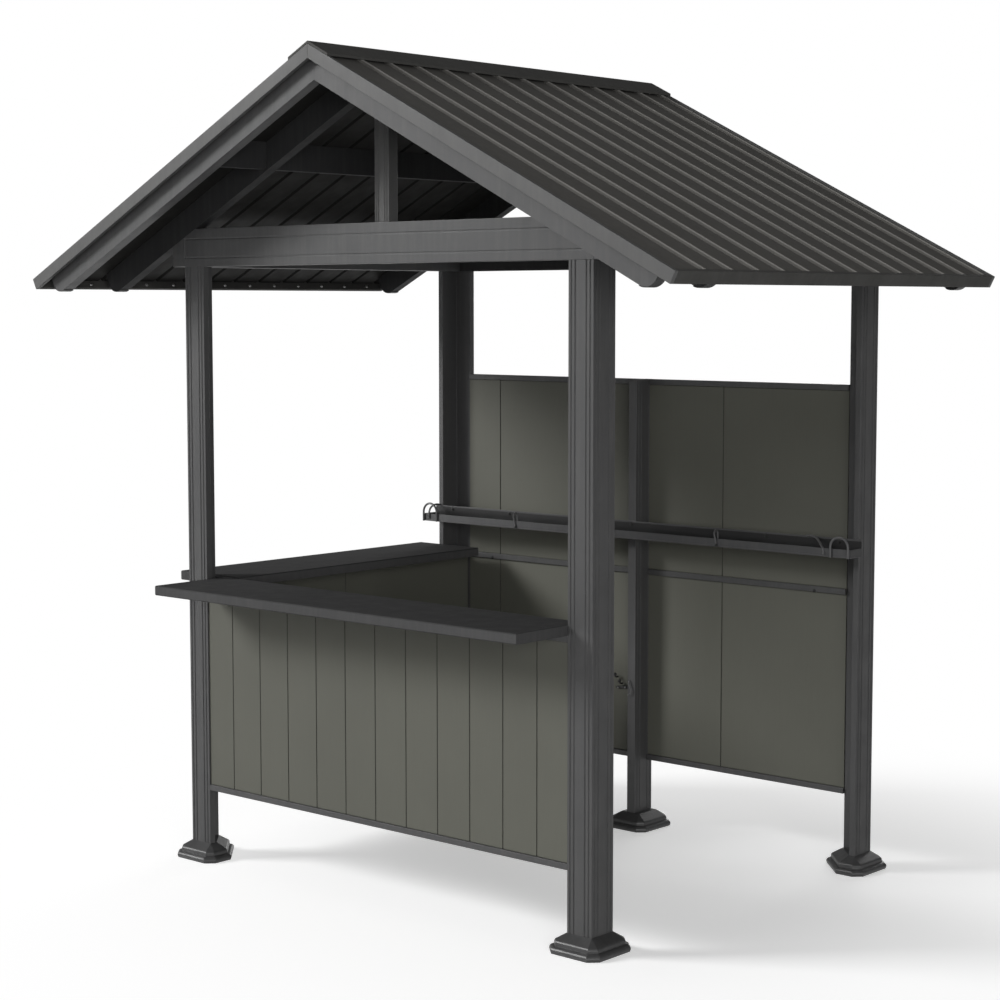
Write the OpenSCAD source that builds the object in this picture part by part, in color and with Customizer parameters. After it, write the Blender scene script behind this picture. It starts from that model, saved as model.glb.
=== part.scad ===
// Open grill shelter with a ribbed gable roof, two bar counters and a boarded back wall.
// X runs along the bar, Y from the front gable to the back wall, Z up, in millimetres.
// The origin is the centre of the footprint on the ground.

/* [Plan] */
// Width over the outer faces of the front corner posts
front_w = 1826; // [1500:10:2400]
// How far each back post stands outside the front post of its side
back_spread = 64; // [0:1:64]
// Depth over the outer faces of the front and back posts
depth = 1454; // [1200:10:2000]

/* [Posts] */
// Width of the post leg that lies along X
post_w = 96; // [80:1:120]
// Width of the post leg that lies along Y
post_d = 103; // [90:1:120]
// Thickness of both legs of the corner posts
post_t = 22; // [16:1:26]
// Width of the flutes in the post faces
flute_w = 5; // [3:0.5:6]
// Depth of the flutes in the post faces
flute_depth = 2.5; // [1:0.5:4]
// Width of the narrow post in the middle of the back wall
mid_post_w = 36; // [30:1:60]
// Height of the post tops, where the beams lie
beam_z = 2080; // [1900:10:2300]

/* [Foot covers] */
// How far a cover stands out from the faces of its post
foot_margin = 52; // [44:1:60]
// Height of the cover where it meets the post
foot_h = 59; // [54:1:70]
// Height of the lower roll's widest line above the ground
foot_edge_h = 9; // [6:1:12]
// How far the lower roll draws in at the ground
foot_tuck = 3; // [1:0.5:5]
// Radius of the lower roll
foot_roll_r = 13; // [10:0.5:15]
// Radius of the upper roll
foot_top_r = 11; // [8:0.5:13]
// How far the upper roll stands back from the lower one
foot_step = 15; // [13:1:20]
// Height of the upright edge below the upper roll
foot_riser = 8; // [5:1:12]
// Cut of the cover's outer corners
foot_corner = 30; // [20:1:40]
// Cut of the corner inside the angle of the post
foot_inner_corner = 104; // [60:1:110]
// How far the middle cover stands out from the sides of its post
foot_mid_margin = 75; // [55:1:85]

/* [Beams] */
// Height of the tie beams and eave beams
beam_h = 130; // [100:1:160]
// Thickness of the tie beams
tie_t = 48; // [40:1:60]
// Height of the lower groove above the beam's lower edge
beam_groove_low = 28; // [20:1:40]
// Height of the upper groove above the beam's lower edge
beam_groove_high = 92; // [70:1:100]
// Width of the beam grooves
beam_groove_w = 5; // [3:0.5:6]
// Depth of the beam grooves
beam_groove_depth = 2.5; // [1:0.5:4]

/* [Roof] */
// Half width of the roof, from the ridge to the outermost corner of the eave trim
roof_half = 1415; // [1200:5:1700]
// How far the roof runs past the front posts
roof_front = 273; // [150:1:400]
// Slope of the roof in degrees
roof_pitch = 26.6; // [20:0.1:32]
// Height of the sheet's underside over the beams, at the outer faces of the front posts
roof_seat = 66; // [60:1:80]
// Thickness of the roof sheet
sheet_t = 4; // [3:0.5:6]
// Height of the standing ribs
rib_h = 9; // [6:1:20]
// Width of a rib at its foot
rib_foot_w = 18; // [16:1:40]
// Width of a rib at its crest
rib_crest_w = 7; // [5:1:14]
// Distance between ribs
rib_pitch = 127; // [100:1:160]
// Number of ribs on a slope
rib_count = 13; // [5:1:13]
// Distance from the front edge of the roof to the first rib
rib_first = 155; // [60:1:155]
// Depth of the rafters, square to the slope
rafter_h = 84; // [70:1:90]
// Thickness of the rafters along Y
rafter_t = 40; // [30:1:48]
// Horizontal reach of the rafter tails from the ridge
tail_reach = 1350; // [1150:1:1365]
// Radius of the rounded lower corner of the tails
tail_r = 45; // [20:1:60]
// Gap between the gable trims and the rafters behind them
fly_gap = 12; // [2:1:40]
// Width of the king posts
king_w = 64; // [45:1:90]
// Horizontal distance from the ridge to the middle of the purlins
purlin_x = 510; // [300:5:600]
// Width of the purlins
purlin_w = 40; // [30:1:60]
// Depth of the purlins
purlin_h = 90; // [70:1:120]
// Width of the ridge beam
ridge_w = 40; // [30:1:60]
// Depth of the ridge beam below the sheet
ridge_h = 90; // [70:1:110]

/* [Roof trim] */
// Depth of the gable trim, square to the slope
gable_trim_h = 40; // [30:1:60]
// Thickness of the gable and eave trims
trim_t = 15; // [10:1:20]
// Depth of the eave trim, square to the slope
eave_trim_h = 40; // [30:1:60]
// Width of each flange of the ridge cap, along X
cap_w = 88; // [50:1:120]
// Thickness of the ridge cap
cap_t = 8; // [4:0.5:10]

/* [Bars] */
// Height of the counter tops
counter_z = 997; // [850:1:1150]
// Thickness of the counter tops
counter_t = 33; // [20:1:45]
// Depth of the counter tops
counter_depth = 315; // [250:1:400]
// How far the front counter stands out from the posts
front_reach = 233; // [150:1:260]
// How far the side counter stands out from the left front post
side_reach = 167; // [120:1:230]
// Bevel on the counter edges
counter_bevel = 3; // [1:0.5:5]
// Height of the lower edge of the bar panels and the back wall
panel_z = 250; // [150:1:350]
// Thickness of the boards
board_t = 14; // [10:1:18]
// Width of the front bar's boards
bar_board_w = 138.5; // [100:0.5:200]
// Width of the side bar's boards on its outer face
side_board_w = 138.5; // [100:0.5:200]
// Distance from the front post to the one seam on the side bar's inner face
side_inner_seam = 646; // [400:1:900]
// Width of the seams between boards
seam_w = 4; // [2:0.5:6]
// Depth of the seams between boards
seam_depth = 3; // [1:0.5:5]
// Height of the rails along the panels
rail_h = 20; // [15:1:30]
// Thickness of the rails
rail_t = 22; // [16:1:26]
// How far the boards lie behind the face of their rails
board_set = 5; // [2:1:8]

/* [Back wall] */
// Height of the wall's upper edge
wall_z = 1675; // [1400:5:1900]
// How far the wall's rails stand in front of the back posts' legs
rail_set = 8; // [2:1:12]
// Height of the middle rail's lower edge
mid_rail_z = 949; // [700:1:1100]
// Thickness of the middle rail
mid_rail_t = 8; // [4:1:12]
// Width of the wall's boards, set out from the right corner post
wall_board_w = 536.5; // [400:0.5:700]
// How far the first board is hidden in the right corner post
wall_board_tuck = 9.5; // [0:0.5:20]

/* [Tray] */
// Length of the tray
tray_len = 1980; // [1500:2:1990]
// Depth of the tray from lip to back
tray_d = 77; // [60:1:120]
// Height of the tray's underside
tray_z = 1096; // [1030:1:1200]
// Height of the front lip
tray_lip_h = 29; // [20:1:50]
// Height of the back flange
tray_back_h = 58; // [40:1:90]
// Thickness of the tray's sheet
tray_t = 4; // [3:0.5:6]
// Diameter of the round bar of the end loops
loop_bar_d = 8; // [6:0.5:12]
// Gap in the folded corners of the tray
tray_seam = 0.5; // [0.3:0.1:1]
// Radius of the end loops at the middle of the bar
loop_r = 35; // [25:1:50]
// How far a loop's outer leg stands in from the end of the tray
loop_inset = 5; // [4:1:40]
// Height of the loops' straight legs above the lip
loop_rise = 6; // [2:1:20]

/* [Hidden] */
$fn = 48;
eps = 1;
c_frame = "dimgray";
c_roof = "darkslategray";
c_board = "olivedrab";
c_top = "slategray";

// Plan lines of the four corners; the shelter is centred on its whole footprint
plan_len = roof_front + depth + foot_margin;
roof_y0 = -plan_len / 2;
front_y = roof_y0 + roof_front;
back_y = front_y + depth;
front_x = front_w / 2;
back_x = front_x + back_spread;

// Top of the beams
beam_top = beam_z + beam_h;

// Roof lines: a line of the roof falls by fall for each unit of X away from the ridge;
// sheet_z is the height of the sheet's underside at the ridge
fall = tan(roof_pitch);
upright = 1 / cos(roof_pitch);
sheet_z = beam_top + roof_seat + front_x * fall;
rafter_drop = rafter_h * upright;
rib_top = sheet_t + rib_h;
rib_top_z = sheet_z + rib_top * upright;
roof_run = (roof_half - rib_top * sin(roof_pitch)) * upright;
sheet_y0 = roof_y0 + trim_t;
sheet_y1 = back_y - trim_t;

// Y of the three pairs of rafters, each from its front face
fly_y = roof_y0 + trim_t + fly_gap;
truss_front_y = front_y;
truss_back_y = back_y - trim_t - fly_gap - rafter_t;

// Y where the wall's boards and the back posts' legs begin
back_leg_y = back_y - post_t;
wall_rail_y = back_leg_y - rail_set;
wall_board_y = back_leg_y - rail_set + board_set;
// Front bar: its boards lie a little behind the posts' front faces
bar_y = front_y + board_set;
bar_x = front_x - post_w;
panel_top = counter_z - counter_t;
// Side bar: its boards lie within the front post's leg
side_x = -front_x + (post_t - board_t) / 2;
side_y0 = front_y + post_d;
side_y1 = back_leg_y;
// Tray: its back flange meets the front edges of the back posts
tray_y1 = back_y - post_d;
tray_y0 = tray_y1 - tray_d;

// Puts children on one side: side 1 keeps them at +X, side -1 mirrors them to -X
module at_side(side) {
    if (side > 0) children();
    else mirror([1, 0, 0]) children();
}

// Extrudes an X-Z outline along Y from y0, by len
module along_y(y0, len) {
    translate([0, y0 + len, 0]) rotate([90, 0, 0]) linear_extrude(len) children();
}

// Extrudes a Y-Z outline along X from x0, by len
module along_x(x0, len) {
    translate([x0, 0, 0]) rotate([90, 0, 90]) linear_extrude(len) children();
}

// Two flutes near each edge of a face of the given width, cut into its outer side
module face_flutes(w) {
    for (x = [0.125 * w, 0.28 * w, 0.72 * w, 0.875 * w])
        translate([x - flute_w / 2, -eps]) square([flute_w, flute_depth + eps]);
}

// Outline of a corner post: the outer corner at 0,0 and the legs along +X and +Y
module post_outline() {
    difference() {
        square([post_w, post_d]);
        translate([post_t, post_t]) square([post_w, post_d]);
        face_flutes(post_w);
        mirror([1, -1]) face_flutes(post_d);
    }
}

// Corner post in place; the outline is mirrored so that its corner points outward
module corner_post(x, y, sx, sy, h) {
    translate([sx * x, y, 0]) mirror([sx > 0 ? 1 : 0, 0, 0]) mirror([0, sy > 0 ? 1 : 0, 0])
        linear_extrude(h) post_outline();
}

// Front posts carry the tie beam on one leg; the other leg runs up beside the eave beam
module front_post(side) {
    lap_h = sheet_z - rafter_drop - front_x * fall - beam_z - 6;
    color(c_frame) union() {
        corner_post(front_x, front_y, side, -1, beam_z);
        at_side(side) translate([front_x - post_t, front_y + tie_t, beam_z])
            cube([post_t, post_d - tie_t, lap_h]);
    }
}

module back_post(side) {
    color(c_frame) corner_post(back_x, back_y, side, 1, beam_z);
}

module mid_post() {
    color(c_frame) translate([-mid_post_w / 2, tray_y1, 0]) linear_extrude(wall_z) difference() {
        square([mid_post_w, post_d]);
        for (y = [0.125, 0.28, 0.72, 0.875])
            for (x = [0, mid_post_w])
                translate([x - flute_depth, y * post_d - flute_w / 2])
                    square([2 * flute_depth, flute_w]);
    }
}

// Moulded edge of a foot cover, from the ground to the post: points [in from the edge, up]
foot_roll_z = foot_edge_h + foot_roll_r;
function foot_edge() = concat(
    [[foot_tuck, 0]],
    [for (a = [0:20:80]) [foot_roll_r * (1 - cos(a)), foot_edge_h + foot_roll_r * sin(a)]],
    [[foot_step, foot_roll_z + 1]],
    [for (a = [0:20:60]) [
        foot_step + foot_top_r * (1 - cos(a)), foot_roll_z + foot_riser + foot_top_r * sin(a)]],
    [[foot_margin, foot_h]]);

// Side outline of a cover that reaches from -a to b, with the moulded edge at both ends
module foot_outline(a, b) {
    e = foot_edge();
    n = len(e) - 1;
    polygon(concat(
        [for (i = [0:n]) [b - e[i][0], e[i][1]]],
        [for (i = [n:-1:0]) [e[i][0] - a, e[i][1]]]));
}

// Moulded cover around 0,0 with half widths a and b; its corner at +X +Y has its own cut
module foot_body(a, b, cut, inner_cut) {
    d = (a + b - cut) / sqrt(2);
    d_inner = (a + b - inner_cut) / sqrt(2);
    r = a + b;
    intersection() {
        along_y(-r, 2 * r) foot_outline(a, a);
        along_x(-r, 2 * r) foot_outline(b, b);
        rotate([0, 0, 45]) along_y(-r, 2 * r) foot_outline(d, d_inner);
        rotate([0, 0, -45]) along_y(-r, 2 * r) foot_outline(d, d);
    }
}

// Foot cover of a corner post, with the post's angle cut out of it
module corner_foot(x, y, sx, sy) {
    color(c_frame)
        translate([sx * x, y, 0]) mirror([sx > 0 ? 1 : 0, 0, 0]) mirror([0, sy > 0 ? 1 : 0, 0])
            difference() {
                translate([post_w / 2, post_d / 2, 0]) foot_body(
                    post_w / 2 + foot_margin, post_d / 2 + foot_margin,
                    foot_corner, foot_inner_corner);
                translate([0, 0, -eps]) linear_extrude(foot_h + 2 * eps) difference() {
                    square([post_w, post_d]);
                    translate([post_t, post_t]) square([post_w, post_d]);
                }
            }
}

module foot_mid() {
    color(c_frame) difference() {
        translate([0, tray_y1 + post_d / 2, 0]) foot_body(
            mid_post_w / 2 + foot_mid_margin, post_d / 2 + foot_margin,
            foot_corner, foot_corner);
        translate([-mid_post_w / 2, tray_y1, -eps]) cube([mid_post_w, post_d, foot_h + 2 * eps]);
    }
}

// Outline of a beam standing on its narrow edge, with two grooves in its outer face
module beam_outline(t) {
    difference() {
        square([t, beam_h]);
        for (z = [beam_groove_low, beam_groove_high])
            translate([-eps, z]) square([beam_groove_depth + eps, beam_groove_w]);
    }
}

// Everything above the undersides of the rafters, on both slopes, from y0 by len
module above_rafters(y0, len) {
    z = sheet_z - rafter_drop;
    reach = 2 * back_x;
    along_y(y0, len) polygon([
        [-reach, z - fall * reach], [0, z], [reach, z - fall * reach], [reach, z], [-reach, z]]);
}

module front_tie_beam() {
    color(c_frame) difference() {
        along_x(-front_x, front_w) translate([front_y, beam_z]) beam_outline(tie_t);
        above_rafters(front_y - eps, tie_t + 2 * eps);
    }
}

module back_tie_beam() {
    color(c_frame) difference() {
        along_x(-front_x, front_w) translate([back_y, beam_z]) mirror([1, 0]) beam_outline(tie_t);
        above_rafters(back_y - tie_t - eps, tie_t + 2 * eps);
    }
}

// Eave beams lie outside the front posts and on top of the back posts; the rafters are let in
module eave_beam(side) {
    color(c_frame) difference() {
        at_side(side) along_y(front_y, depth)
            translate([back_x, beam_z]) mirror([1, 0]) beam_outline(back_spread);
        above_rafters(front_y - eps, tie_t + eps);
        above_rafters(truss_back_y, back_y - truss_back_y + eps);
    }
}

// Rafter outline on the +X side: mitred at the ridge, square tail with a rounded lower corner
module rafter_outline() {
    x_up = tail_reach;
    low = [x_up - rafter_h * sin(roof_pitch), sheet_z - fall * x_up - rafter_h * cos(roof_pitch)];
    // Middle of the rounded corner
    m = low + tail_r * [sin(roof_pitch) - cos(roof_pitch), sin(roof_pitch) + cos(roof_pitch)];
    polygon(concat(
        [[0, sheet_z], [0, sheet_z - rafter_drop]],
        [for (a = [-90 - roof_pitch:10:-roof_pitch]) m + tail_r * [cos(a), sin(a)]],
        [[x_up, sheet_z - fall * x_up]]));
}

module rafter(side, y) {
    color(c_frame) at_side(side) along_y(y, rafter_t) rafter_outline();
}

// Front king post: it laps behind the tie beam and ends under the ridge beam
module king_post_front() {
    top = sheet_z - ridge_h;
    color(c_frame) translate([-king_w / 2, front_y + tie_t, beam_z])
        linear_extrude(top - beam_z) difference() {
            square([king_w, rafter_t]);
            for (x = [0.125, 0.28, 0.72, 0.875]) translate([x * king_w - flute_w / 2, -eps])
                square([flute_w, flute_depth + eps]);
        }
}

// Back king post: it stands on the tie beam and ends under the rafters
module king_post_back() {
    top = sheet_z - rafter_drop;
    side_top = top - fall * king_w / 2;
    color(c_frame) along_y(truss_back_y, rafter_t) polygon([
        [-king_w / 2, beam_top], [king_w / 2, beam_top],
        [king_w / 2, side_top], [0, top], [-king_w / 2, side_top]]);
}

// Lengths of Y that lie between the rafters
bays = [[fly_y + rafter_t, truss_front_y], [truss_front_y + rafter_t, truss_back_y]];

module ridge_beam() {
    color(c_frame) for (b = bays) along_y(b[0], b[1] - b[0]) polygon([
        [0, sheet_z], [-ridge_w / 2, sheet_z - fall * ridge_w / 2],
        [-ridge_w / 2, sheet_z - ridge_h], [ridge_w / 2, sheet_z - ridge_h],
        [ridge_w / 2, sheet_z - fall * ridge_w / 2]]);
}

module purlins(side) {
    x0 = purlin_x - purlin_w / 2;
    x1 = purlin_x + purlin_w / 2;
    color(c_frame) at_side(side) for (b = bays) along_y(b[0], b[1] - b[0]) polygon([
        [x0, sheet_z - fall * x0], [x0, sheet_z - fall * x0 - purlin_h],
        [x1, sheet_z - fall * x0 - purlin_h], [x1, sheet_z - fall * x1]]);
}

// Cross-section of the ribbed sheet across the ribs, from the front edge, w up from the roof plane
function rib_points(y, lift) = [
    [y - rib_foot_w / 2, lift], [y - rib_crest_w / 2, rib_h + lift],
    [y + rib_crest_w / 2, rib_h + lift], [y + rib_foot_w / 2, lift]];
rib_ys = [for (i = [0:rib_count - 1]) roof_y0 + rib_first + i * rib_pitch];
function sheet_line(lift) = concat(
    [[sheet_y0, lift]],
    [for (y = rib_ys) for (p = rib_points(y, lift)) p],
    [[sheet_y1, lift]]);
module sheet_outline() {
    low = sheet_line(0);
    high = sheet_line(sheet_t);
    polygon(concat(low, [for (i = [len(high) - 1:-1:0]) high[i]]));
}

// Keeps the children, drawn with u along the slope and v square to it, on the +X side only
module slope_half() {
    intersection() {
        translate([0, sheet_z]) rotate(-roof_pitch) children();
        square([2 * roof_half, 2 * sheet_z]);
    }
}

// One slope of the roof: the ribbed section laid along the slope, cut upright at the ridge
module roof_sheet(side) {
    lead = 50;
    color(c_roof) at_side(side) intersection() {
        translate([0, 0, sheet_z]) rotate([0, roof_pitch, 0]) translate([-lead, 0, 0])
            rotate([90, 0, 90]) linear_extrude(lead + roof_run - trim_t) sheet_outline();
        translate([0, sheet_y0 - eps, 0])
            cube([roof_half, sheet_y1 - sheet_y0 + 2 * eps, 2 * sheet_z]);
    }
}

// Ridge cap: an inverted V that lies on the rib crests and covers the front trim
module ridge_cap() {
    z = rib_top_z;
    t = cap_t * upright;
    color(c_roof) along_y(roof_y0, back_y - roof_y0) polygon([
        [0, z], [cap_w, z - fall * cap_w], [cap_w, z - fall * cap_w + t],
        [0, z + t], [-cap_w, z - fall * cap_w + t], [-cap_w, z - fall * cap_w]]);
}

module gable_trim(side, y) {
    lead = 2 * gable_trim_h;
    color(c_top) at_side(side) along_y(y, trim_t) slope_half()
        translate([-lead, rib_top - gable_trim_h]) square([lead + roof_run, gable_trim_h]);
}

module eave_trim(side) {
    color(c_roof) at_side(side) along_y(sheet_y0, sheet_y1 - sheet_y0) slope_half()
        translate([roof_run - trim_t, rib_top - eave_trim_h]) square([trim_t, eave_trim_h]);
}

// Slab outline with small bevels on its four edges
module bevelled(w, h) {
    b = counter_bevel;
    polygon([[b, 0], [w - b, 0], [w, b], [w, h - b], [w - b, h], [b, h], [0, h - b], [0, b]]);
}

module counter_front() {
    color(c_top) along_x(-bar_x, 2 * bar_x)
        translate([front_y - front_reach, panel_top]) bevelled(counter_depth, counter_t);
}

module counter_side() {
    color(c_top) along_y(side_y0, depth - 2 * post_d)
        translate([-front_x - side_reach, panel_top]) bevelled(counter_depth, counter_t);
}

// Boards standing upright in the X-Z plane, with seams in the front face and, if asked, the back
module boards_x(x0, x1, y, z0, z1, seams, both) {
    color(c_board) difference() {
        translate([x0, y, z0]) cube([x1 - x0, board_t, z1 - z0]);
        for (x = seams) {
            translate([x - seam_w / 2, y - eps, z0 - eps])
                cube([seam_w, seam_depth + eps, z1 - z0 + 2 * eps]);
            if (both) translate([x - seam_w / 2, y + board_t - seam_depth, z0 - eps])
                cube([seam_w, seam_depth + eps, z1 - z0 + 2 * eps]);
        }
    }
}

module bar_panel_front() {
    seams = [for (i = [-5:5]) i * bar_board_w];
    boards_x(-bar_x, bar_x, bar_y, panel_z + rail_h, panel_top - rail_h, seams, false);
}

// Rails below and above the boards of both bars
module bar_rails() {
    color(c_frame) for (z = [panel_z, panel_top - rail_h]) {
        translate([-bar_x, front_y, z]) cube([2 * bar_x, rail_t, rail_h]);
        translate([-front_x, side_y0, z]) cube([rail_t, side_y1 - side_y0, rail_h]);
    }
}

module bar_panel_side() {
    z = panel_z + rail_h;
    h = panel_top - rail_h - z;
    n = floor((side_y1 - side_y0) / side_board_w);
    color(c_board) difference() {
        translate([side_x, side_y0, z]) cube([board_t, side_y1 - side_y0, h]);
        for (i = [1:n])
            translate([side_x - eps, side_y0 + i * side_board_w - seam_w / 2, z - eps])
                cube([seam_depth + eps, seam_w, h + 2 * eps]);
        translate([side_x + board_t - seam_depth, side_y0 + side_inner_seam - seam_w / 2, z - eps])
            cube([seam_depth + eps, seam_w, h + 2 * eps]);
    }
}

wall_x = back_x - post_w;

// One bay of the back wall, between the middle post and a corner post
module wall_panel(side) {
    x0 = side > 0 ? mid_post_w / 2 : -wall_x;
    x1 = side > 0 ? wall_x : -mid_post_w / 2;
    seams = [for (x = [wall_x + wall_board_tuck:-wall_board_w:-wall_x])
        if (x > x0 + seam_w && x < x1 - seam_w) x];
    boards_x(x0, x1, wall_board_y, panel_z + rail_h, wall_z - rail_h, seams, true);
}

// Rails above and below the boards of both bays, and a thin rail across their faces
module wall_rails() {
    x0 = mid_post_w / 2;
    color(c_frame) for (side = [-1, 1]) at_side(side) {
        for (z = [panel_z, wall_z - rail_h])
            translate([x0, wall_rail_y, z]) cube([wall_x - x0, rail_t, rail_h]);
        translate([x0, wall_board_y - mid_rail_t, mid_rail_z])
            cube([wall_x - x0, mid_rail_t, rail_h]);
    }
}

tray_x = tray_len / 2;

module tray_floor() {
    color(c_frame) translate([-tray_x, tray_y0, tray_z]) cube([tray_len, tray_d, tray_t]);
}

// Upright sides of the tray: front lip, higher back flange and two ends between them
module tray_sides() {
    z = tray_z + tray_t;
    end_d = tray_d - 2 * tray_t - 2 * tray_seam;
    color(c_frame) {
        translate([-tray_x, tray_y0, z]) cube([tray_len, tray_t, tray_lip_h - tray_t]);
        translate([-tray_x, tray_y1 - tray_t, z]) cube([tray_len, tray_t, tray_back_h - tray_t]);
        for (x = [-tray_x, tray_x - tray_t]) translate([x, tray_y0 + tray_t + tray_seam, z])
            cube([tray_t, end_d, tray_lip_h - tray_t]);
    }
}

// Round-bar loops on the front of the lip, one at each end: two legs and an arch
module tray_loops() {
    leg_h = tray_lip_h + loop_rise;
    color(c_frame) for (s = [-1, 1])
        translate([s * (tray_x - loop_inset - loop_r), tray_y0 - loop_bar_d / 2, tray_z]) union() {
            for (x = [-loop_r, loop_r]) translate([x, 0, 0]) cylinder(h = leg_h, d = loop_bar_d);
            translate([0, 0, leg_h]) rotate([90, 0, 0])
                rotate_extrude(angle = 180) translate([loop_r, 0]) circle(d = loop_bar_d);
        }
}

front_post(-1);  // post_front_left
front_post(1);  // post_front_right
back_post(-1);  // post_back_left
back_post(1);  // post_back_right
mid_post();
corner_foot(front_x, front_y, -1, -1);  // foot_front_left
corner_foot(front_x, front_y, 1, -1);  // foot_front_right
corner_foot(back_x, back_y, -1, 1);  // foot_back_left
corner_foot(back_x, back_y, 1, 1);  // foot_back_right
foot_mid();
front_tie_beam();
back_tie_beam();
eave_beam(-1);  // eave_beam_left
eave_beam(1);  // eave_beam_right
king_post_front();
king_post_back();
rafter(-1, truss_front_y);  // rafter_front_left
rafter(1, truss_front_y);  // rafter_front_right
rafter(-1, truss_back_y);  // rafter_back_left
rafter(1, truss_back_y);  // rafter_back_right
rafter(-1, fly_y);  // fly_rafter_left
rafter(1, fly_y);  // fly_rafter_right
ridge_beam();
purlins(-1);  // purlins_left
purlins(1);  // purlins_right
roof_sheet(-1);  // roof_sheet_left
roof_sheet(1);  // roof_sheet_right
ridge_cap();
gable_trim(-1, roof_y0);  // front_trim_left
gable_trim(1, roof_y0);  // front_trim_right
gable_trim(-1, sheet_y1);  // back_trim_left
gable_trim(1, sheet_y1);  // back_trim_right
eave_trim(-1);  // eave_trim_left
eave_trim(1);  // eave_trim_right
counter_front();
bar_panel_front();
counter_side();
bar_panel_side();
bar_rails();
wall_panel(-1);  // wall_panel_left
wall_panel(1);  // wall_panel_right
wall_rails();
tray_floor();
tray_sides();
tray_loops();
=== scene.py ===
"""Looks of the open grill shelter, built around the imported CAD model."""
import math

import bmesh
import bpy
from mathutils import Matrix, Vector


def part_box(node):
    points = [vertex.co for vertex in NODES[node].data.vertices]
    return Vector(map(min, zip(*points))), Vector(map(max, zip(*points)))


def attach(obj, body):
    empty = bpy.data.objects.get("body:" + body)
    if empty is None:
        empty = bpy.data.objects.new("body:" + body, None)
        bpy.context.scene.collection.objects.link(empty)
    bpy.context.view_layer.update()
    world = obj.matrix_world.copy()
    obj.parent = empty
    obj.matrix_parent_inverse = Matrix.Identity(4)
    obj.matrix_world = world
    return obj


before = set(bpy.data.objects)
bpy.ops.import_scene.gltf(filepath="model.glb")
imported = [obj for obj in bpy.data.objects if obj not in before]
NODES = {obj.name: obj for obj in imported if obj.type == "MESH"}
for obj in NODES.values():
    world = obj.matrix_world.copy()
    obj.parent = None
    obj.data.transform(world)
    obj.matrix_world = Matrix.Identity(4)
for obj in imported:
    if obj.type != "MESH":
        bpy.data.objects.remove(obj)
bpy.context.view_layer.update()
SCENE = bpy.context.scene


# Roof numbers of the CAD model, in metres
PITCH = math.radians(26.6)
FALL = math.tan(PITCH)
SHEET_Z = 2.210 + 0.066 + 0.913 * FALL
RAFTER_H = 0.084
TAIL_X = 1.350
TAIL_R = 0.045
ROOF_Y0 = -0.8895
ROOF_RUN = 1.576
TRIM_T = 0.015
RIB_FIRST = 0.155
RIB_PITCH = 0.127


# ---------------------------------------------------------------- camera

def make_camera():
    data = bpy.data.cameras.new("camera")
    data.lens = 77.81
    data.sensor_width = 36.0
    data.clip_end = 200.0
    obj = bpy.data.objects.new("camera", data)
    obj.location = (4.909, -5.5275, 1.950)
    obj.rotation_euler = (math.radians(84.828), math.radians(0.03), math.radians(41.605))
    SCENE.collection.objects.link(obj)
    SCENE.camera = obj


# ---------------------------------------------------------------- materials

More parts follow.
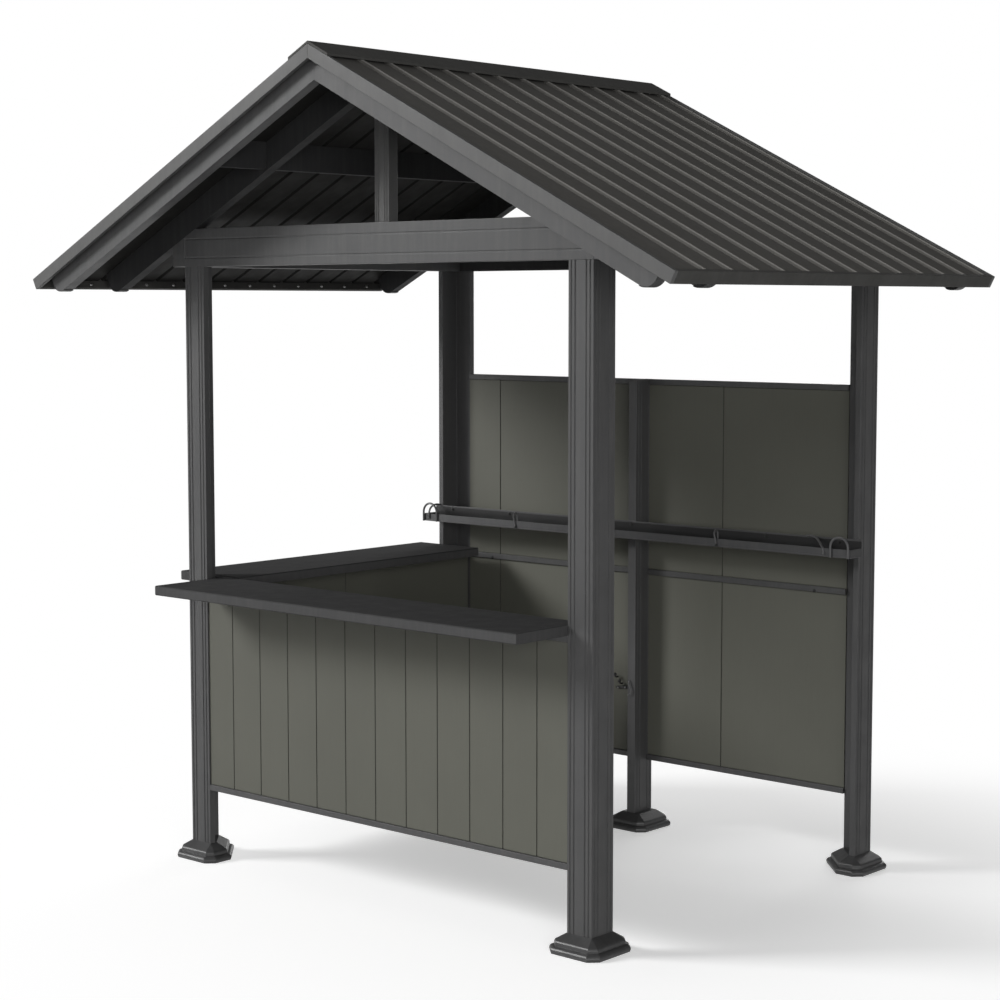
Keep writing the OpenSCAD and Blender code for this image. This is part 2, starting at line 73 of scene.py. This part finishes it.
class Nodes:
    """A short way to write a node tree."""

    def __init__(self, name):
        self.mat = bpy.data.materials.new(name)
        self.mat.use_nodes = True
        self.tree = self.mat.node_tree
        self.bsdf = self.tree.nodes["Principled BSDF"]
        self.coord = self.tree.nodes.new("ShaderNodeTexCoord")

    def add(self, kind, **values):
        node = self.tree.nodes.new(kind)
        for key, value in values.items():
            if key in node.inputs:
                node.inputs[key].default_value = value
            else:
                setattr(node, key, value)
        return node

    def link(self, a, b):
        self.tree.links.new(a, b)

    def mapped(self, scale):
        node = self.add("ShaderNodeMapping")
        node.inputs["Scale"].default_value = scale
        self.link(self.coord.outputs["Object"], node.inputs["Vector"])
        return node.outputs["Vector"]

    def noise(self, scale, detail=3.0, rough=0.55, stretch=(1, 1, 1)):
        node = self.add("ShaderNodeTexNoise")
        node.inputs["Scale"].default_value = scale
        node.inputs["Detail"].default_value = detail
        node.inputs["Roughness"].default_value = rough
        self.link(self.mapped(stretch), node.inputs["Vector"])
        return node.outputs["Fac"]

    def ramp(self, fac, low, high, p0=0.3, p1=0.7):
        node = self.add("ShaderNodeValToRGB")
        ramp = node.color_ramp
        ramp.elements[0].position = p0
        ramp.elements[1].position = p1
        ramp.elements[0].color = (*low, 1)
        ramp.elements[1].color = (*high, 1)
        self.link(fac, node.inputs["Fac"])
        return node.outputs["Color"]

    def span(self, fac, lo, hi, p0=0.3, p1=0.7):
        node = self.add("ShaderNodeMapRange")
        node.inputs["From Min"].default_value = p0
        node.inputs["From Max"].default_value = p1
        node.inputs["To Min"].default_value = lo
        node.inputs["To Max"].default_value = hi
        self.link(fac, node.inputs["Value"])
        return node.outputs["Result"]

    def mix(self, fac, a, b, mode="MIX"):
        node = self.add("ShaderNodeMix")
        node.data_type = "RGBA"
        node.blend_type = mode
        if isinstance(fac, (int, float)):
            node.inputs["Factor"].default_value = fac
        else:
            self.link(fac, node.inputs["Factor"])
        for socket, value in ((node.inputs["A"], a), (node.inputs["B"], b)):
            socket = [s for s in node.inputs if s.name == socket.name and s.type == "RGBA"][0]
            if isinstance(value, tuple):
                socket.default_value = (*value, 1)
            else:
                self.link(value, socket)
        return [s for s in node.outputs if s.type == "RGBA"][0]

    def bump(self, height, strength, distance, chain=None):
        node = self.add("ShaderNodeBump")
        node.inputs["Strength"].default_value = strength
        node.inputs["Distance"].default_value = distance
        self.link(height, node.inputs["Height"])
        if chain is not None:
            self.link(chain, node.inputs["Normal"])
        return node.outputs["Normal"]

    def edge_mask(self, radius):
        """Bright on worn outer edges: how far a rounded normal departs from the true one."""
        bevel = self.add("ShaderNodeBevel")
        bevel.samples = 4
        bevel.inputs["Radius"].default_value = radius
        geo = self.add("ShaderNodeNewGeometry")
        dot = self.add("ShaderNodeVectorMath")
        dot.operation = "DOT_PRODUCT"
        self.link(bevel.outputs["Normal"], dot.inputs[0])
        self.link(geo.outputs["Normal"], dot.inputs[1])
        return self.span(dot.outputs["Value"], 1.0, 0.0, 0.80, 0.995)


    def painted_shade_facing(self, way):
        """One on faces that look up (1) or down (-1), where painted shade darkens the colour."""
        geo = self.add("ShaderNodeNewGeometry")
        parts = self.add("ShaderNodeSeparateXYZ")
        self.link(geo.outputs["True Normal"], parts.inputs["Vector"])
        return self.span(parts.outputs["Z"], 0.0, 1.0, way * 0.1, way * 0.3)

    def tray_inside_shade(self):
        """One inside the tray, below the edge of its back: painted shade that darkens its inside."""
        parts = self.add("ShaderNodeSeparateXYZ")
        self.link(self.coord.outputs["Object"], parts.inputs["Vector"])
        front = self.span(parts.outputs["Y"], 0.0, 1.0, 0.6592, 0.6600)
        low = self.span(parts.outputs["Z"], 1.0, 0.0, 1.1480, 1.1486)
        floor = self.span(parts.outputs["Z"], 0.0, 1.0, 1.0975, 1.0985)
        back = self.span(parts.outputs["Y"], 1.0, 0.0, 0.7320, 0.7326)
        value = front
        for other in (low, floor, back):
            node = self.add("ShaderNodeMath")
            node.operation = "MULTIPLY"
            self.link(value, node.inputs[0])
            self.link(other, node.inputs[1])
            value = node.outputs["Value"]
        return value

    def seam_shade(self, distance):
        """Painted shade deep in narrow seams, by how much of the sky they see."""
        node = self.add("ShaderNodeAmbientOcclusion")
        node.samples = 6
        node.inputs["Distance"].default_value = distance
        return self.span(node.outputs["AO"], 1.0, 0.0, 0.45, 0.85)

    def rib_crest_highlight(self, amount):
        """Painted highlight on the crest of each roof rib, by its height over the sheet."""
        parts = self.add("ShaderNodeSeparateXYZ")
        self.link(self.coord.outputs["Object"], parts.inputs["Vector"])
        out = self.add("ShaderNodeMath")
        out.operation = "ABSOLUTE"
        self.link(parts.outputs["X"], out.inputs[0])
        across = self.add("ShaderNodeMath")
        across.operation = "MULTIPLY_ADD"
        across.inputs[1].default_value = math.sin(PITCH)
        across.inputs[2].default_value = -SHEET_Z * math.cos(PITCH)
        self.link(out.outputs["Value"], across.inputs[0])
        height = self.add("ShaderNodeMath")
        height.operation = "MULTIPLY_ADD"
        height.inputs[1].default_value = math.cos(PITCH)
        self.link(parts.outputs["Z"], height.inputs[0])
        self.link(across.outputs["Value"], height.inputs[2])
        return self.span(height.outputs["Value"], 0.0, amount, 0.0095, 0.0120)


def scaled(color, k):
    return tuple(c * k for c in color)


def coated(name, color, rough=0.5, grain=900.0, peel=0.10, dust=0.06, spec=0.5, mottling=0.07,
           rubbed_and_highlight=(0.0, 0.35), crest_highlight=0.0, underside_shade=1.0, top_shade=1.0, inside_shade=False):
    """Powder-coated sheet: fine orange peel, faint clouds of colour, dust and worn edges, where a strong setting is
    partly painted highlight; optional painted highlight on rib crest lines, painted shade on downward faces, on tops
    and inside the tray.
    """
    n = Nodes(name)
    clouds = n.noise(2.3, 4.0, 0.6)
    tone = n.ramp(clouds, scaled(color, 1 - mottling), scaled(color, 1 + mottling))
    fine = n.noise(60.0, 2.0, 0.5)
    tone = n.mix(n.span(fine, 0.0, 0.10), tone, scaled(color, 1.45))
    streaks = n.noise(9.0, 3.0, 0.6, stretch=(6, 6, 0.35))
    tone = n.mix(n.span(streaks, 0.0, dust, 0.45, 0.75), tone, (0.30, 0.29, 0.27))
    rub = n.noise(35.0, 3.0, 0.7)
    mask = n.add("ShaderNodeMath")
    mask.operation = "MULTIPLY"
    n.link(n.edge_mask(0.0022), mask.inputs[0])
    n.link(n.span(rub, *rubbed_and_highlight, 0.4, 0.7), mask.inputs[1])
    # Lighter worn edges; on the roof this is partly a painted highlight on the rib edges.
    tone = n.mix(mask.outputs["Value"], tone, scaled(color, 2.4))
    # Painted highlight along each rib crest.
    if crest_highlight:
        tone = n.mix(n.rib_crest_highlight(crest_highlight), tone, scaled(color, 2.5))
    # Painted shade: faces that look down are darkened.
    if underside_shade < 1.0:
        tone = n.mix(n.painted_shade_facing(-1), tone, scaled(color, underside_shade))
    # Painted shade: faces that look up are darkened.
    if top_shade < 1.0:
        tone = n.mix(n.painted_shade_facing(1), tone, scaled(color, top_shade))
    # Painted shade darkening the inside of the tray.
    if inside_shade:
        tone = n.mix(n.tray_inside_shade(), tone, scaled(color, 0.18))
    n.link(tone, n.bsdf.inputs["Base Color"])
    n.link(n.span(n.noise(14.0, 3.0), rough - 0.06, rough + 0.08), n.bsdf.inputs["Roughness"])
    peel_normal = n.bump(n.noise(grain, 2.0, 0.5), peel, 0.0006)
    n.link(n.bump(n.noise(4.0, 2.0), 0.04, 0.004, peel_normal), n.bsdf.inputs["Normal"])
    n.bsdf.inputs["Specular IOR Level"].default_value = spec
    return n.mat


def board(name, color, along="z"):
    """Coated board with a faint straight grain along its length."""
    n = Nodes(name)
    stretch = {"z": (1, 1, 0.03), "x": (0.03, 1, 1)}[along]
    grain = n.noise(140.0, 5.0, 0.65, stretch=stretch)
    clouds = n.noise(1.7, 3.0, 0.55)
    tone = n.ramp(clouds, scaled(color, 0.93), scaled(color, 1.07))
    tone = n.mix(n.span(grain, 0.0, 0.16), tone, scaled(color, 1.30))
    fine = n.noise(420.0, 2.0, 0.5, stretch=stretch)
    tone = n.mix(n.span(fine, 0.0, 0.12), tone, scaled(color, 0.72))
    # Painted shade in the seams between the boards.
    tone = n.mix(n.seam_shade(0.006), tone, scaled(color, 0.12))
    n.link(tone, n.bsdf.inputs["Base Color"])
    n.link(n.span(grain, 0.52, 0.64), n.bsdf.inputs["Roughness"])
    n.link(n.bump(grain, 0.12, 0.0008), n.bsdf.inputs["Normal"])
    n.bsdf.inputs["Specular IOR Level"].default_value = 0.4
    return n.mat


def steel(name, color, rough=0.3):
    n = Nodes(name)
    scratch = n.noise(220.0, 3.0, 0.6)
    n.link(n.ramp(scratch, scaled(color, 0.85), scaled(color, 1.12)), n.bsdf.inputs["Base Color"])
    n.link(n.span(scratch, rough - 0.06, rough + 0.1), n.bsdf.inputs["Roughness"])
    n.link(n.bump(scratch, 0.08, 0.0003), n.bsdf.inputs["Normal"])
    n.bsdf.inputs["Metallic"].default_value = 1.0
    return n.mat


def plastic(name, color, rough=0.55):
    n = Nodes(name)
    grain = n.noise(1200.0, 2.0, 0.5)
    clouds = n.noise(6.0, 3.0)
    n.link(n.ramp(clouds, scaled(color, 0.9), scaled(color, 1.1)), n.bsdf.inputs["Base Color"])
    n.link(n.span(grain, rough - 0.05, rough + 0.07), n.bsdf.inputs["Roughness"])
    n.link(n.bump(grain, 0.15, 0.0003), n.bsdf.inputs["Normal"])
    return n.mat


FRAME_COLOR = (0.072, 0.072, 0.073)
MATS = {
    "frame": coated("coat_frame", FRAME_COLOR, 0.50),
    "foot": coated("coat_foot", scaled(FRAME_COLOR, 0.84), 0.42),
    # A darker copy of the frame coat: painted shade for the truss members that lie in shade in the roof.
    "inner": coated("coat_frame_painted_shade", (0.034, 0.034, 0.035), 0.60, dust=0.03, spec=0.12),
    # Roof coat: painted highlight along each rib crest, edge brightening that is partly worn paint and partly painted
    # highlight, and painted shade on the sheet's downward faces.
    "roof": coated("coat_roof", (0.134, 0.130, 0.122), 0.64, dust=0.08, spec=0.12, rubbed_and_highlight=(0.1, 0.5), crest_highlight=0.85,
                   underside_shade=0.11),
    "edge": coated("coat_roof_edge", (0.084, 0.083, 0.079), 0.60, dust=0.04, spec=0.12),
    "trim": coated("coat_trim", (0.092, 0.092, 0.091), 0.50),
    # Counter coat with painted shade darkening its tops.
    "counter": coated("coat_counter", (0.082, 0.082, 0.083), 0.64, spec=0.15, top_shade=0.60),
    "board": board("coat_board", (0.133, 0.134, 0.111)),
    # Tray coat with painted shade inside it.
    "tray": coated("coat_tray", (0.072, 0.072, 0.074), 0.42, inside_shade=True),
    "wire": coated("coat_wire", (0.115, 0.115, 0.117), 0.38, rubbed_and_highlight=(0.2, 0.6)),
    "steel": steel("screw_steel", (0.42, 0.42, 0.42)),
    "cap": plastic("cap_plastic", (0.022, 0.022, 0.022)),
}


def node_material(name):
    if name.startswith("foot_"):
        return "foot"
    if name.startswith("roof_sheet"):
        return "roof"
    if name.startswith(("ridge_cap", "eave_trim")):
        return "edge"
    # The front king post takes the lighter trim coat: a painted highlight that brightens it in the roof's shade.
    if "trim" in name or name == "king_post_front":
        return "trim"
    # Truss members in the roof get the darker frame coat, which is painted shade.
    if name.startswith(("rafter_", "purlins_", "ridge_beam", "back_tie", "king_post_back")):
        return "inner"
    if name.startswith("counter_"):
        return "counter"
    if "panel" in name:
        return "board"
    if name == "tray_loops":
        return "wire"
    if name.startswith("tray_"):
        return "tray"
    return "frame"


def dress(obj, material, bevel=0.0015, segments=2):
    """Gives a CAD node its material and softly rounded edges."""
    obj.data.materials.clear()
    obj.data.materials.append(MATS[material])
    weld = obj.modifiers.new("weld", "WELD")
    weld.merge_threshold = 0.00002
    if bevel:
        mod = obj.modifiers.new("bevel", "BEVEL")
        mod.width = bevel
        mod.segments = segments
        mod.limit_method = "ANGLE"
        mod.angle_limit = math.radians(32)
        mod.harden_normals = True
        mod.use_clamp_overlap = True


# ---------------------------------------------------------------- pieces

def piece(name, bm, material, smooth=False):
    bmesh.ops.recalc_face_normals(bm, faces=bm.faces[:])
    mesh = bpy.data.meshes.new(name)
    bm.to_mesh(mesh)
    bm.free()
    for poly in mesh.polygons:
        poly.use_smooth = smooth
    obj = bpy.data.objects.new(name, mesh)
    obj.data.materials.append(MATS[material])
    SCENE.collection.objects.link(obj)
    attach(obj, "root")
    return obj


def turn_to(axis):
    """Matrix that turns +Z to the axis."""
    return Vector((0, 0, 1)).rotation_difference(Vector(axis).normalized()).to_matrix().to_4x4()


def screw_head(bm, at, axis, r=0.006, h=0.003, washer=0.0):
    """A hex head with a chamfer, on a thin washer, standing out of the surface along axis."""
    base = Matrix.Translation(Vector(at)) @ turn_to(axis)
    z = 0.0
    if washer:
        lathe(bm, base, [(washer, 0.0), (washer, 0.0008), (washer - 0.0006, 0.0014), (0.0, 0.0014)])
        z = 0.0012
    bottom = [bm.verts.new(base @ Vector((r * math.cos(a), r * math.sin(a), z)))
              for a in [math.tau * i / 6 for i in range(6)]]
    top = [bm.verts.new(base @ Vector((r * math.cos(a), r * math.sin(a), z + h * 0.75)))
           for a in [math.tau * i / 6 for i in range(6)]]
    cap = [bm.verts.new(base @ Vector((0.8 * r * math.cos(a), 0.8 * r * math.sin(a), z + h)))
           for a in [math.tau * i / 6 for i in range(6)]]
    for i in range(6):
        j = (i + 1) % 6
        bm.faces.new((bottom[i], bottom[j], top[j], top[i]))
        bm.faces.new((top[i], top[j], cap[j], cap[i]))
    bm.faces.new(cap)


def lathe(bm, base, points, steps=16):
    """Turns an (r, z) outline around the base's Z axis."""
    rings = []
    for r, z in points:
        if r <= 0:
            rings.append([bm.verts.new(base @ Vector((0, 0, z)))])
        else:
            rings.append([bm.verts.new(base @ Vector((r * math.cos(math.tau * i / steps),
                                                      r * math.sin(math.tau * i / steps), z)))
                          for i in range(steps)])
    for low, high in zip(rings, rings[1:]):
        for i in range(steps):
            j = (i + 1) % steps
            if len(high) == 1:
                bm.faces.new((low[i], low[j], high[0]))
            elif len(low) == 1:
                bm.faces.new((low[0], high[j], high[i]))
            else:
                bm.faces.new((low[i], low[j], high[j], high[i]))


def prism(bm, outline, along, start, length):
    """Extrudes a flat outline: along 'y' takes (x, z) points, along 'x' takes (y, z) points."""
    def place(p, d):
        return Vector((p[0], d, p[1])) if along == "y" else Vector((d, p[0], p[1]))
    a = [bm.verts.new(place(p, start)) for p in outline]
    b = [bm.verts.new(place(p, start + length)) for p in outline]
    n = len(outline)
    for i in range(n):
        j = (i + 1) % n
        bm.faces.new((a[i], a[j], b[j], b[i]))
    bm.faces.new(a)
    bm.faces.new(list(reversed(b)))


def round_edges(obj, width=0.001, segments=2):
    mod = obj.modifiers.new("bevel", "BEVEL")
    mod.width = width
    mod.segments = segments
    mod.limit_method = "ANGLE"
    mod.angle_limit = math.radians(35)
    return obj


def tail_caps():
    """Dark moulded caps on the rafter tails: they follow the square end and its rounded corner."""
    low = Vector((TAIL_X - RAFTER_H * math.sin(PITCH), SHEET_Z - FALL * TAIL_X - RAFTER_H * math.cos(PITCH)))
    mid = low + TAIL_R * Vector((math.sin(PITCH) - math.cos(PITCH), math.sin(PITCH) + math.cos(PITCH)))
    thick = 0.0022
    angles = [-math.pi / 2 - PITCH + math.radians(90) * i / 10 for i in range(11)]
    inner = [mid + TAIL_R * Vector((math.cos(a), math.sin(a))) for a in angles]
    inner.append(Vector((TAIL_X - 0.004, SHEET_Z - FALL * TAIL_X - 0.010)))
    outer = [mid + (TAIL_R + thick) * Vector((math.cos(a), math.sin(a))) for a in angles]
    outer.append(inner[-1] + thick * Vector((math.cos(PITCH), -math.sin(PITCH))))
    outline = [tuple(p) for p in inner] + [tuple(p) for p in reversed(outer)]
    for node in ("fly_rafter", "rafter_front", "rafter_back"):
        lo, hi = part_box(node + "_right")
        for side, tag in ((1, "right"), (-1, "left")):
            bm = bmesh.new()
            prism(bm, [(side * x, z) for x, z in outline], "y", lo.y - 0.001, hi.y - lo.y + 0.002)
            round_edges(piece(f"tail_cap_{node}_{tag}", bm, "cap"), 0.0007)


def slope_point(u, v, side=1):
    """Point on a roof half: u down the slope from the ridge, v square to it."""
    return (side * (u * math.cos(PITCH) + v * math.sin(PITCH)),
            SHEET_Z - u * math.sin(PITCH) + v * math.cos(PITCH))


def eave_screws():
    """Bright screws beside each rib, on the inner face of the eave trims."""
    for side, tag in ((1, "right"), (-1, "left")):
        bm = bmesh.new()
        x, z = slope_point(ROOF_RUN - TRIM_T, -0.013, side)
        for i in range(13):
            y = ROOF_Y0 + RIB_FIRST + i * RIB_PITCH - 0.045
            screw_head(bm, (x, y, z), (-side * math.cos(PITCH), 0, math.sin(PITCH)), 0.0045, 0.003, 0.0065)
        piece(f"eave_screws_{tag}", bm, "steel")


def tube(bm, points, r, steps=10, smooth_steps=6):
    """A round bar along a smooth curve through the points, closed at both ends."""
    pts = [Vector(p) for p in points]
    path = []
    for i in range(len(pts) - 1):
        p0, p1, p2, p3 = pts[max(i - 1, 0)], pts[i], pts[i + 1], pts[min(i + 2, len(pts) - 1)]
        for k in range(smooth_steps):
            t = k / smooth_steps
            path.append(0.5 * ((2 * p1) + (p2 - p0) * t + (2 * p0 - 5 * p1 + 4 * p2 - p3) * t * t
                               + (3 * p1 - p0 - 3 * p2 + p3) * t ** 3))
    path.append(pts[-1])
    tangent = (path[1] - path[0]).normalized()
    side = tangent.orthogonal().normalized()
    rings = []
    for i, p in enumerate(path):
        ahead = (path[min(i + 1, len(path) - 1)] - path[max(i - 1, 0)]).normalized()
        side = tangent.rotation_difference(ahead) @ side
        tangent = ahead
        up = tangent.cross(side).normalized()
        rings.append([bm.verts.new(p + r * (math.cos(math.tau * k / steps) * side
                                            + math.sin(math.tau * k / steps) * up)) for k in range(steps)])
    for low, high in zip(rings, rings[1:]):
        for k in range(steps):
            j = (k + 1) % steps
            bm.faces.new((low[k], low[j], high[j], high[k]))
    bm.faces.new(list(reversed(rings[0])))
    bm.faces.new(rings[-1])


def ball(bm, at, r, flat=1.0):
    """A small knob: a ball, flattened along Y."""
    base = Matrix.Translation(Vector(at)) @ turn_to((0, -1, 0))
    angles = [math.pi * i / 8 for i in range(1, 8)]
    lathe(bm, base, [(0, -r * flat)] + [(r * math.sin(a), -r * flat * math.cos(a)) for a in angles] + [(0, r * flat)])


# Tray numbers of the CAD model, in metres
TRAY_Y0 = 0.6575
TRAY_Y1 = 0.7345
TRAY_TOP = 1.125
TRAY_BACK_TOP = 1.154


def tray_hooks():
    """Bent wire hooks over the tray's lip and curved bars at its two ends."""
    y = TRAY_Y0 - 0.0032
    bm = bmesh.new()
    tips = bmesh.new()
    for x in (-0.515, 0.428):
        tube(bm, [(x + 0.012, y, 1.104), (x + 0.008, y, 1.122), (x + 0.003, y, 1.141), (x + 0.001, y + 0.007, 1.152),
                  (x, y + 0.016, 1.155), (x, y + 0.024, 1.149), (x, y + 0.026, 1.132), (x, y + 0.026, 1.104)], 0.0029)
        ball(tips, (x + 0.012, y - 0.0006, 1.103), 0.0052, 0.8)
    piece("tray_hooks", bm, "wire", True)
    piece("tray_hook_tips", tips, "cap", True)
    bm = bmesh.new()
    tube(bm, [(-0.957, y, 1.106), (-0.957, y, 1.124), (-0.958, y + 0.006, 1.141), (-0.960, y + 0.018, 1.151),
              (-0.963, 0.690, 1.157), (-0.966, 0.712, 1.158), (-0.969, 0.731, 1.1545)], 0.0037)
    tube(bm, [(0.770, 0.731, 1.1545), (0.790, 0.728, 1.155), (0.818, 0.716, 1.150), (0.842, 0.698, 1.140),
              (0.868, 0.672, 1.130), (0.884, y + 0.004, 1.120), (0.887, y, 1.104)], 0.0037)
    piece("tray_end_bars", bm, "wire", True)


def tray_bolts():
    """Bolts through the tray's lip, at its joints with the posts and along its length."""
    bm = bmesh.new()
    for x in (-0.90, -0.60, 0.0, 0.60, 0.90):
        screw_head(bm, (x, TRAY_Y1 - 0.004, 1.142), (0, -1, 0), 0.0050, 0.0030, 0.0080)
    for x in (-0.925, -0.05, 0.05, 0.925):
        screw_head(bm, (x, TRAY_Y0 + 0.040, 1.100), (0, 0, 1), 0.0050, 0.0030, 0.0080)
    piece("tray_bolts", bm, "cap")


def wall_hooks():
    """A low pair of hooks on the wall's inner face, and a bent wire beside the middle post."""
    lo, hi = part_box("wall_panel_left")
    face = lo.y
    bm = bmesh.new()
    for x, z in ((-0.124, 0.553), (-0.103, 0.530)):
        tube(bm, [(x, face + 0.002, z - 0.004), (x, face - 0.008, z - 0.005), (x, face - 0.016, z - 0.002),
                  (x, face - 0.019, z + 0.004)], 0.0028)
        ball(bm, (x, face - 0.019, z + 0.006), 0.0065)
    piece("wall_hooks", bm, "cap", True)
    bm = bmesh.new()
    prism(bm, [(-0.128, 0.503), (-0.079, 0.508), (-0.079, 0.517), (-0.128, 0.512)], "y", face - 0.005, 0.0055)
    round_edges(piece("wall_hook_plate", bm, "cap"), 0.0008)
    bm = bmesh.new()
    for x, z in ((-0.121, 0.5075), (-0.086, 0.5125)):
        screw_head(bm, (x, face - 0.005, z), (0, -1, 0), 0.0030, 0.0020)
    piece("wall_hook_screws", bm, "steel")
    bm = bmesh.new()
    tube(bm, [(-0.006, 0.7345, 0.556), (-0.006, 0.728, 0.553), (-0.002, 0.7265, 0.538), (0.004, 0.7265, 0.521),
              (0.001, 0.7265, 0.508), (-0.010, 0.7265, 0.503)], 0.0024)
    piece("post_wire_hook", bm, "wire", True)


def rail_bolts():
    """Small dark bolts on the wall's middle rail."""
    lo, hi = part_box("wall_rails")
    panel_lo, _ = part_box("wall_panel_left")
    bm = bmesh.new()
    for x in (-0.754, 0.754):
        screw_head(bm, (x, panel_lo.y - 0.0075, 0.953), (0, -1, 0), 0.0042, 0.003, 0.0065)
    piece("rail_bolts", bm, "cap")


def roof_screws():
    """Painted roofing screws on washers in the pans beside the ribs, in three rows on each half."""
    for side, tag in ((1, "right"), (-1, "left")):
        bm = bmesh.new()
        axis = (side * math.sin(PITCH), 0, math.cos(PITCH))
        for u in (0.150, 0.582, 1.020, ROOF_RUN - 0.075):
            x, z = slope_point(u, 0.0040, side)
            for i in range(0, 13, 2):
                y = ROOF_Y0 + RIB_FIRST + i * RIB_PITCH + 0.022
                if y < 0.86:
                    screw_head(bm, (x, y, z), axis, 0.0038, 0.0028, 0.0068)
        piece(f"roof_screws_{tag}", bm, "roof")


def make_details():
    tail_caps()
    eave_screws()
    roof_screws()
    tray_hooks()
    tray_bolts()
    wall_hooks()
    rail_bolts()


# ---------------------------------------------------------------- stage and light

FLOOR_BASE = 0.95
FLOOR_BOUNCE = 0.17
FLOOR_GLOW = 0.42

def make_stage():
    """White floor that keeps the soft shadow near the object and fades to plain white around it."""
    mesh = bpy.data.meshes.new("floor")
    s = 60.0
    mesh.from_pydata([(-s, -s, 0), (s, -s, 0), (s, s, 0), (-s, s, 0)], [], [(0, 1, 2, 3)])
    floor = bpy.data.objects.new("floor", mesh)
    SCENE.collection.objects.link(floor)
    mat = bpy.data.materials.new("floor_white")
    mat.use_nodes = True
    tree = mat.node_tree
    bsdf = tree.nodes["Principled BSDF"]
    bsdf.inputs["Roughness"].default_value = 0.9
    bsdf.inputs["Specular IOR Level"].default_value = 0.0
    path = tree.nodes.new("ShaderNodeLightPath")
    paint = tree.nodes.new("ShaderNodeMapRange")
    paint.inputs["To Min"].default_value = FLOOR_BASE
    paint.inputs["To Max"].default_value = FLOOR_BOUNCE
    tree.links.new(path.outputs["Is Diffuse Ray"], paint.inputs["Value"])
    tree.links.new(paint.outputs["Result"], bsdf.inputs["Base Color"])
    rays = tree.nodes.new("ShaderNodeMath")
    rays.operation = "MAXIMUM"
    tree.links.new(path.outputs["Is Camera Ray"], rays.inputs[0])
    tree.links.new(path.outputs["Is Glossy Ray"], rays.inputs[1])
    lift = tree.nodes.new("ShaderNodeMath")
    lift.operation = "MULTIPLY"
    lift.inputs[1].default_value = FLOOR_GLOW
    tree.links.new(rays.outputs["Value"], lift.inputs[0])
    glow = tree.nodes.new("ShaderNodeEmission")
    tree.links.new(lift.outputs["Value"], glow.inputs["Strength"])
    both = tree.nodes.new("ShaderNodeAddShader")
    tree.links.new(bsdf.outputs["BSDF"], both.inputs[0])
    tree.links.new(glow.outputs["Emission"], both.inputs[1])
    # Distance from the middle of the shelter's shadow
    coord = tree.nodes.new("ShaderNodeTexCoord")
    away = tree.nodes.new("ShaderNodeVectorMath")
    away.operation = "DISTANCE"
    away.inputs[1].default_value = (0.45, 0.25, 0.0)
    tree.links.new(coord.outputs["Object"], away.inputs[0])
    fade = tree.nodes.new("ShaderNodeMapRange")
    fade.interpolation_type = "SMOOTHSTEP"
    fade.inputs["From Min"].default_value = 0.6
    fade.inputs["From Max"].default_value = 2.7
    tree.links.new(away.outputs["Value"], fade.inputs["Value"])
    amount = tree.nodes.new("ShaderNodeMath")
    amount.operation = "MULTIPLY"
    tree.links.new(fade.outputs["Result"], amount.inputs[0])
    tree.links.new(path.outputs["Is Camera Ray"], amount.inputs[1])
    white = tree.nodes.new("ShaderNodeEmission")
    white.inputs["Strength"].default_value = 1.0
    out = tree.nodes.new("ShaderNodeMixShader")
    tree.links.new(amount.outputs["Value"], out.inputs["Fac"])
    tree.links.new(both.outputs["Shader"], out.inputs[1])
    tree.links.new(white.outputs["Emission"], out.inputs[2])
    tree.links.new(out.outputs["Shader"], tree.nodes["Material Output"].inputs["Surface"])
    floor.data.materials.append(mat)


def area_light(name, location, target, size, energy, color=(1, 1, 1)):
    data = bpy.data.lights.new(name, "AREA")
    data.shape = "RECTANGLE"
    data.size, data.size_y = size
    data.energy = energy
    data.color = color
    obj = bpy.data.objects.new(name, data)
    obj.location = location
    obj.rotation_euler = (Vector(target) - Vector(location)).to_track_quat("-Z", "Y").to_euler()
    SCENE.collection.objects.link(obj)
    return obj


def make_light():
    world = bpy.data.worlds.new("studio")
    SCENE.world = world
    world.use_nodes = True
    tree = world.node_tree
    back = tree.nodes["Background"]
    back.inputs["Color"].default_value = (1, 1, 1, 1)
    path = tree.nodes.new("ShaderNodeLightPath")
    seen = tree.nodes.new("ShaderNodeMath")
    seen.operation = "MAXIMUM"
    tree.links.new(path.outputs["Is Camera Ray"], seen.inputs[0])
    tree.links.new(path.outputs["Is Transmission Ray"], seen.inputs[1])
    # The sky is brightest at the horizon and dim overhead
    coord = tree.nodes.new("ShaderNodeTexCoord")
    split = tree.nodes.new("ShaderNodeSeparateXYZ")
    tree.links.new(coord.outputs["Generated"], split.inputs["Vector"])
    sky = tree.nodes.new("ShaderNodeMapRange")
    sky.inputs["From Min"].default_value = 0.0
    sky.inputs["From Max"].default_value = 1.0
    sky.inputs["To Min"].default_value = 0.20
    sky.inputs["To Max"].default_value = 0.07
    tree.links.new(split.outputs["Z"], sky.inputs["Value"])
    power = tree.nodes.new("ShaderNodeMapRange")
    power.inputs["To Max"].default_value = 1.0
    tree.links.new(sky.outputs["Result"], power.inputs["To Min"])
    tree.links.new(seen.outputs["Value"], power.inputs["Value"])
    tree.links.new(power.outputs["Result"], back.inputs["Strength"])
    area_light("key", (-12.5, -11.2, 9.6), (0, 0, 1.5), (5.6, 5.6), 2550)
    area_light("fill", (7.8, -6.8, 2.5), (0, 0, 1.4), (5.0, 3.5), 330)
    area_light("back", (-3.0, 11.2, 3.2), (0, 0, 1.4), (6.0, 3.5), 440)


make_camera()
for node_name, node_obj in NODES.items():
    if node_name.startswith("foot_"):
        dress(node_obj, "foot", 0.0028, 3)
    elif node_name == "tray_loops":
        dress(node_obj, node_material(node_name), 0.0)
    else:
        dress(node_obj, node_material(node_name), 0.0008 if node_name.startswith("tray_") else 0.0015)
make_details()
make_stage()
make_light()
SCENE.view_settings.view_transform = "Standard"
